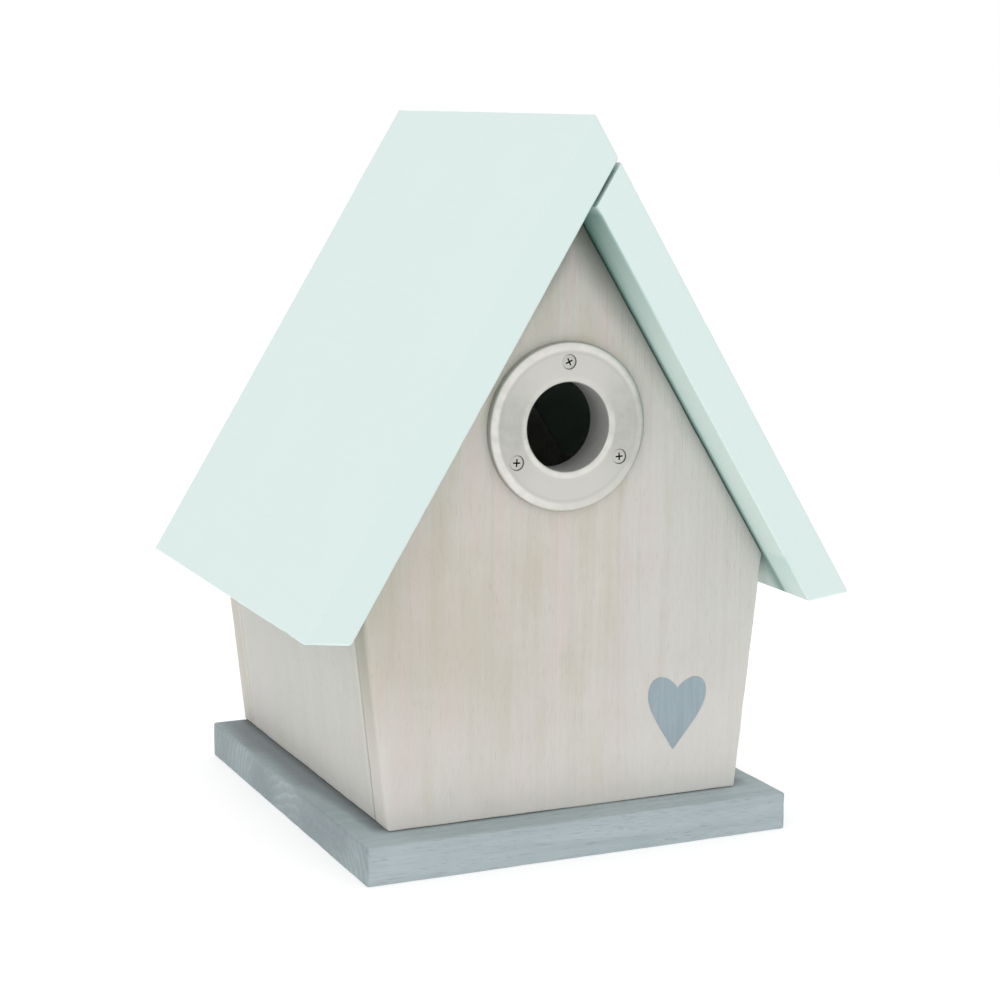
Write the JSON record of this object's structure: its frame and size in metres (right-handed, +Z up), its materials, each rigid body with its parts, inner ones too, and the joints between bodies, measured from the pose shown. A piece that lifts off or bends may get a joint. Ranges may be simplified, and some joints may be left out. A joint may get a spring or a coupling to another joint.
{
  "type": "birdhouse",
  "caption": "Wooden nest box with a steep two-board roof, a metal entrance ring, inward-tapering walls, an overhanging base plate and a hinged roof board for cleaning.",
  "frame": {"origin": "middle of the base plate's underside", "axes": "+Z up, -Y out of the front with the entrance, +X to the viewer's right when facing the front; the back is flush at +Y"},
  "size_m": [0.2346, 0.1995, 0.29],
  "materials": {
    "whitewashed_wood": "whitewashed softwood with the vertical grain showing, matt",
    "mint_painted_wood": "opaque pale mint paint, satin matt",
    "blue_grey_wood": "blue-grey stain with brush streaks along the grain, matt",
    "blue_grey_paint": "thin blue-grey paint film with the grain showing through, matt",
    "satin_metal": "satin, with worn and rounded edges",
    "bright_screw": "bright plated cross-recess screw",
    "zinc_plated_steel": "zinc plated",
    "brad_steel": "plain wire"
  },
  "bodies": {
    "housing": {"base_plate": "blue_grey_wood", "front_panel": "whitewashed_wood", "back_panel": "whitewashed_wood", "left_wall": "whitewashed_wood", "right_wall": "whitewashed_wood", "roof_panel_left": "mint_painted_wood", "entrance_ring": "satin_metal", "ring_screw_1": "bright_screw", "ring_screw_2": "bright_screw", "ring_screw_3": "bright_screw", "heart_motif": "blue_grey_paint", "hinge_fixed_leaf_front": "zinc_plated_steel", "hinge_fixed_leaf_rear": "zinc_plated_steel", "hinge_pin_front": "zinc_plated_steel", "hinge_pin_rear": "zinc_plated_steel", "hanger_plate": "zinc_plated_steel", "hanger_screw_1": "zinc_plated_steel", "hanger_screw_2": "zinc_plated_steel", "fixed_leaf_screw_front_1": "zinc_plated_steel", "fixed_leaf_screw_front_2": "zinc_plated_steel", "fixed_leaf_screw_rear_1": "zinc_plated_steel", "fixed_leaf_screw_rear_2": "zinc_plated_steel", "base_screw_1": "zinc_plated_steel", "base_screw_2": "zinc_plated_steel", "base_screw_3": "zinc_plated_steel", "base_screw_4": "zinc_plated_steel", "front_brad_1": "brad_steel", "front_brad_2": "brad_steel", "front_brad_3": "brad_steel", "front_brad_4": "brad_steel", "back_brad_1": "brad_steel", "back_brad_2": "brad_steel", "back_brad_3": "brad_steel", "back_brad_4": "brad_steel", "roof_brad_1": "brad_steel", "roof_brad_2": "brad_steel", "roof_brad_3": "brad_steel", "roof_brad_4": "brad_steel"},
    "lid": {"roof_panel_right": "mint_painted_wood", "hinge_lid_leaf_front": "zinc_plated_steel", "hinge_lid_leaf_rear": "zinc_plated_steel", "lid_leaf_screw_front_1": "zinc_plated_steel", "lid_leaf_screw_front_2": "zinc_plated_steel", "lid_leaf_screw_rear_1": "zinc_plated_steel", "lid_leaf_screw_rear_2": "zinc_plated_steel"}
  },
  "joints": [
    {"name": "lid_hinge", "type": "hinge", "parent": "housing", "child": "lid", "pos_m": [0.01268, 0, 0.27382], "axis": [0, -1, 0], "range_deg": [0, 190]}
  ]
}
